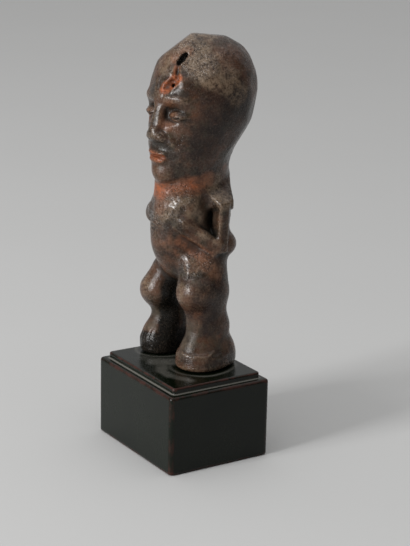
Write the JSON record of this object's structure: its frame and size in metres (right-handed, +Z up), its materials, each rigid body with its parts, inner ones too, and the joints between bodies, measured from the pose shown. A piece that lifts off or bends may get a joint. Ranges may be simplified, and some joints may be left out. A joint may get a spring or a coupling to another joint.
{
  "type": "carved standing figure on a plinth",
  "caption": "Carved wooden standing figure with a large head, hands on the belly and short bent legs, on a black lacquered rectangular plinth.",
  "frame": {"origin": "centre of the plinth's underside", "axes": "+Z up, the figure looks along -Y, its left side is towards +X"},
  "size_m": [0.0734, 0.0712, 0.2144],
  "materials": {
    "carved_wood": "dark crusty patina, semi-gloss, with traces of red ochre and orange pigment",
    "black_lacquer": "satin black lacquer, worn to red-brown along the edges"
  },
  "bodies": {
    "root": {"figure": "carved_wood", "plinth": "black_lacquer"}
  },
  "joints": []
}
